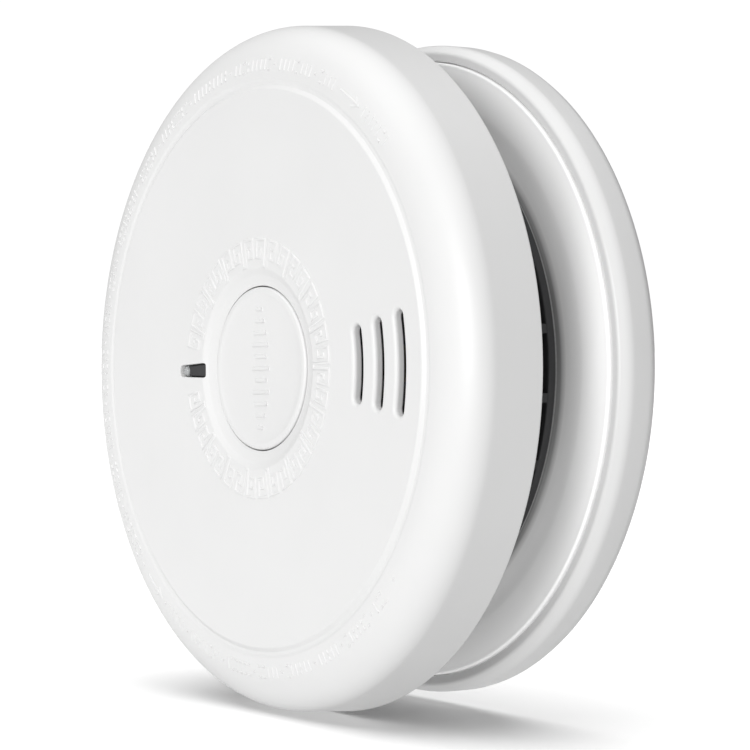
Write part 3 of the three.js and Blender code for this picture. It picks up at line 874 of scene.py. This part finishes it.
# ---------- base housing ----------
def base_rise(steps=12):
    """The dish: a straight slope from the edge, then a quarter curve that ends against the cage."""
    edge, foot = Vector((BASE_R - 0.6, BASE_EDGE)), Vector((48.6, 9.4))
    crest = Vector((CAGE_R - 0.5, BASE_TOP - 0.5))
    wide, high = foot - crest
    slope = [tuple(edge + (foot - edge) * i / steps) for i in range(steps)]
    turned = [polar(1, 90 * i / steps) for i in range(steps + 1)]
    curve = [(crest.x + wide * (1 - y), crest.y + high * x) for x, y in turned]
    return [*slope, *curve, (crest.x, BASE_TOP)]


def base_profile():
    """Rear side, skirt, then the dish and the flat middle in front."""
    return filleted([
        (0, BASE_UNDER),
        (CAGE_R, BASE_UNDER, 0.5),
        (46, BASE_EDGE - 0.5, 0.5),
        (BASE_INSIDE, BASE_EDGE - 1.9, 0.5),
        (BASE_INSIDE, SKIRT_LOW, 0.2),
        (BASE_R + 0.2, SKIRT_LOW, 0.3),
        (BASE_R + 0.2, BASE_EDGE, 0.5),
        *base_rise(),
        (0, BASE_TOP),
    ])


def make_base_housing():
    """A dish with a skirt, and a battery well, screw bosses, hook ledges and stops on its rear side."""
    base = lathe("base_housing_shell", base_profile())
    _, well_z = place_of("battery_case")
    wall, boss_r, low = WELL["wall"], 3.2, BASE_UNDER + 0.3
    roof = WELL_TOP - wall
    well = rectangle(WELL["x"] + 2 * wall, WELL["z"] + 2 * wall, 1.6, (0, well_z))
    additions = [straight("well", low, WELL_TOP, well)]
    for a in HOOK_ANGLES:
        ledge = (a - HOOK_HALF, a + HOOK_HALF, SKIRT_LOW + 0.3, BASE_LEDGE["top"])
        stop = (a + HOOK_HALF + 0.6, a + HOOK_HALF + 2.6, SKIRT_LOW + 0.3, BASE_EDGE - 1)
        additions += [wedge(BASE_LEDGE["r"], BASE_INSIDE + 0.3, *sizes) for sizes in (ledge, stop)]
    additions += [straight("boss", low, WELL_TOP, circle(boss_r, p)) for p in POSTS]
    combine(base, additions, "UNION")
    pocket = rectangle(WELL["x"], WELL["z"], 0.6, (0, well_z))
    lead_notch = rectangle(3.6, 12, 0.8, (23.9, well_z + 1))
    cuts = [straight("pocket", SKIRT_LOW - 1, roof, pocket)]
    cuts.append(straight("notch", roof - 1, WELL_TOP + 1, lead_notch))
    cuts += [straight("bore", BASE_UNDER - 1, WELL_TOP + 1, circle(BORE_R, p)) for p in POSTS]
    combine(base, cuts, "DIFFERENCE")
    weigh_normals(base)
    attach(base, "head", "white_plastic", "base_housing")
    # The base takes the white plastic with painted shade round the cage's foot.
    base.data.materials[0] = BASE_PAINTED_SHADE
    return base


# ---------- mounting plate ----------
def keyhole_outline(z, grow=0.0):
    """A round entry with a narrower slot that runs up from it."""
    entry, slot = KEYHOLE_ENTRY_R + grow, SCREW_SLOT_HALF_W + grow
    side = math.degrees(math.asin(slot / entry))
    around = [polar(entry, 90 + side + (360 - 2 * side) * i / 28) for i in range(29)]
    over = [polar(slot, 180 * i / 12) for i in range(13)]
    return [(x, z + y) for x, y in around] + [(x, z + KEYHOLE_RUN + y) for x, y in over]


def plate_profile():
    """A flat plate with a shallow recess in its wall face and a high rounded rim."""
    recess = 0.7
    return filleted([
        (0, 0),
        (13, 0, 0.3),
        (13.6, recess, 0.3),
        (51, recess, 0.3),
        (51.6, 0, 0.3),
        (PLATE_R, 0, 2.5),
        (PLATE_R, RIM - 1.7, 2.6),
        (56.6, RIM, 0.9),
        (RIM_INNER, RIM - 0.1, 0.25),
        (RIM_INNER, PLATE_FLOOR, 0.4),
        (0, PLATE_FLOOR),
    ])


def screw_slot(middle, grow=0.0):
    """A curved slot for a wall screw, round the given angle."""
    return arc_slot(SCREW_CIRCLE, SCREW_SLOT_HALF_W + grow, SCREW_SLOT_HALF_ANGLE, middle)


def make_mounting_plate():
    plate = lathe("mounting_plate_shell", plate_profile())
    additions = []
    for a in HOOK_ANGLES:
        start, end = a - HOOK_HALF, a + HOOK_HALF
        post_low, under, top = PLATE_FLOOR - 0.5, HOOK["under"], HOOK["top"]
        additions.append(wedge(HOOK["inner"], HOOK["post"], start, end, post_low, top))
        additions.append(wedge(HOOK["lip_inner"], HOOK["lip"], start, end, under, top))
    # Rims round the screw openings, and ribs: they fill the recess up to the wall face.
    rim, rim_top = 1.8, 1.2
    additions += [straight("rim", 0, rim_top, keyhole_outline(z, rim)) for z in KEYHOLES]
    additions += [straight("rim", 0, rim_top, screw_slot(a, rim)) for a in (0, 180)]
    rib_angles = (30, 60, 120, 150, 210, 240, 300, 330)
    additions += [radial_rib(a, 12.8, 51.5, 1.2, 0, rim_top) for a in rib_angles]
    for tool in additions:
        combine(plate, [tool], "UNION")
    cuts = []
    for z in KEYHOLES:
        def hole(offset, z=z):
            return keyhole_outline(z, offset)
        cuts.append(loft("keyhole", flared(hole, -1, PLATE_FLOOR, 0.25)))
    cuts += [straight("slot", -1, 4, screw_slot(a)) for a in (0, 180)]
    combine(plate, cuts, "DIFFERENCE")
    weigh_normals(plate)
    attach(plate, "mount", "white_plastic", "mounting_plate")


def radial_rib(angle, start, end, width, low, high):
    along_rib, across = Vector(polar(1, angle)), Vector(polar(1, angle + 90))
    corners = ((start, 0.5), (end, 0.5), (end, -0.5), (start, -0.5))
    outline = [tuple(along_rib * r + across * side * width) for r, side in corners]
    return straight("rib", low, high, outline)


# ---------- the CAD nodes ----------
def paint_cad_nodes():
    """Gives every CAD node the finish of its material slot."""
    for subpart in frame["record"]["subparts"]:
        node = frame["nodes"][subpart["node"]]
        for slot in node.material_slots:
            slot.material = MATERIALS[subpart["material_slot"]]


# ---------- camera, floor and light ----------
AZIMUTH, ELEVATION, ROLL = (math.radians(a) for a in (54.51, 1.22, 0.89))
TARGET = at(0, 16.7, -1.14)
DISTANCE = 518.8 * MM
LENS = 140.07
SPIN = math.radians(2.6)  # how far the camera and the floor lean round the detector's axis


def make_camera():
    forward = Vector((-math.sin(AZIMUTH) * math.cos(ELEVATION),
                      math.cos(AZIMUTH) * math.cos(ELEVATION),
                      -math.sin(ELEVATION)))
    level = Vector((math.cos(AZIMUTH), math.sin(AZIMUTH), 0))
    right = level * math.cos(ROLL) + level.cross(forward) * math.sin(ROLL)
    up = right.cross(forward)
    data = bpy.data.cameras.new("camera")
    data.lens = LENS
    data.sensor_width = 36
    data.clip_start = 0.01
    camera = bpy.data.objects.new("camera", data)
    bpy.context.scene.collection.objects.link(camera)
    turn = Matrix((right, up, -forward)).transposed().to_4x4()
    place = Matrix.Translation(TARGET - forward * DISTANCE)
    camera.matrix_world = Matrix.Rotation(SPIN, 4, "Y") @ place @ turn
    bpy.context.scene.camera = camera


def make_floor():
    bm = bmesh.new()
    bmesh.ops.create_grid(bm, x_segments=2, y_segments=2, size=4)
    floor = finish_mesh("floor", bm)
    under = Matrix.Translation((0, 0, CAD_BOX[0].z - 0.2 * MM))
    floor.matrix_world = Matrix.Rotation(SPIN, 4, "Y") @ under
    paper = Shader("floor_paper", (0.93, 0.93, 0.93), 0.9)
    paper.bump(paper.noise(60, 3), 0.02, 0.2)
    paper.set("Emission Color", (1, 1, 1, 1)).set("Emission Strength", 0.08)
    floor.data.materials.append(paper.material)
    floor.visible_diffuse = False
    return floor


def soft_sun(name, azimuth, elevation, spread, irradiance, only, shaded_by=()):
    """Parallel light from a wide patch of sky; azimuth 0 is straight in front of the face.

    It lights only the pieces in `only`. If `shaded_by` names pieces, nothing else shades it.
    """
    light = bpy.data.lights.new(name, "SUN")
    light.energy = irradiance
    light.angle = math.radians(spread)
    source = bpy.data.objects.new(name, light)
    bpy.context.scene.collection.objects.link(source)
    for role, pieces in (("receiver", only), ("blocker", shaded_by)):
        if pieces:
            group = bpy.data.collections.new(f"{name} {role}s")
            for piece in pieces:
                group.objects.link(piece)
            setattr(source.light_linking, f"{role}_collection", group)
    across, over = math.radians(azimuth), math.radians(elevation)
    flat = math.cos(over)
    towards = Vector((math.sin(across) * flat, -math.cos(across) * flat, math.sin(over)))
    source.rotation_euler = towards.to_track_quat("Z", "Y").to_euler()


def make_world():
    """A soft even white light, with a brighter backdrop that only the camera sees."""
    world = bpy.data.worlds.new("studio")
    bpy.context.scene.world = world
    world.use_nodes = True
    nodes, links = world.node_tree.nodes, world.node_tree.links
    soft = nodes["Background"]
    soft.inputs["Color"].default_value = (1, 1, 1, 1)
    soft.inputs["Strength"].default_value = 0.26
    backdrop = nodes.new("ShaderNodeBackground")
    backdrop.inputs["Strength"].default_value = 1.3
    seen = nodes.new("ShaderNodeLightPath")
    mix = nodes.new("ShaderNodeMixShader")
    links.new(seen.outputs["Is Camera Ray"], mix.inputs["Fac"])
    links.new(soft.outputs["Background"], mix.inputs[1])
    links.new(backdrop.outputs["Background"], mix.inputs[2])
    links.new(mix.outputs["Shader"], nodes["World Output"].inputs["Surface"])


def make_lamps(cover, base, floor):
    """A key light from the right of the face, wide light from above and below, and one for the floor.

    Three more reach the base's dish through the gap, each at its own height.
    """
    pieces = [piece for piece in bpy.context.scene.objects if piece.type == "MESH" and piece != floor]
    soft_sun("key", 28, 10, 25, 1.86, only=pieces)
    soft_sun("top", 10, 78, 90, 1.65, only=pieces)
    soft_sun("bounce", 30, -58, 120, 1.4, only=pieces, shaded_by=pieces)
    soft_sun("gap", 42, 0, 14, 0.4, only=[base], shaded_by=[cover])
    soft_sun("high gap", 30, 40, 20, 0.55, only=[base], shaded_by=[cover])
    soft_sun("low gap", 30, -40, 20, 1.1, only=[base], shaded_by=[cover])
    soft_sun("ground", 0, 86, 85, 3.5, only=[floor])


make_camera()
make_world()
bpy.context.scene.view_settings.view_transform = "Standard"
paint_cad_nodes()
front_cover = make_front_cover()
make_key_pattern()
make_raised_marks()
make_test_button()
make_button_bars()
make_button_spring()
make_light_pipe()
make_light_pipe_holder()
make_inlet_cage()
make_insect_screen()
make_rear_cover()
base_housing = make_base_housing()
make_mounting_plate()
make_lamps(front_cover, base_housing, make_floor())
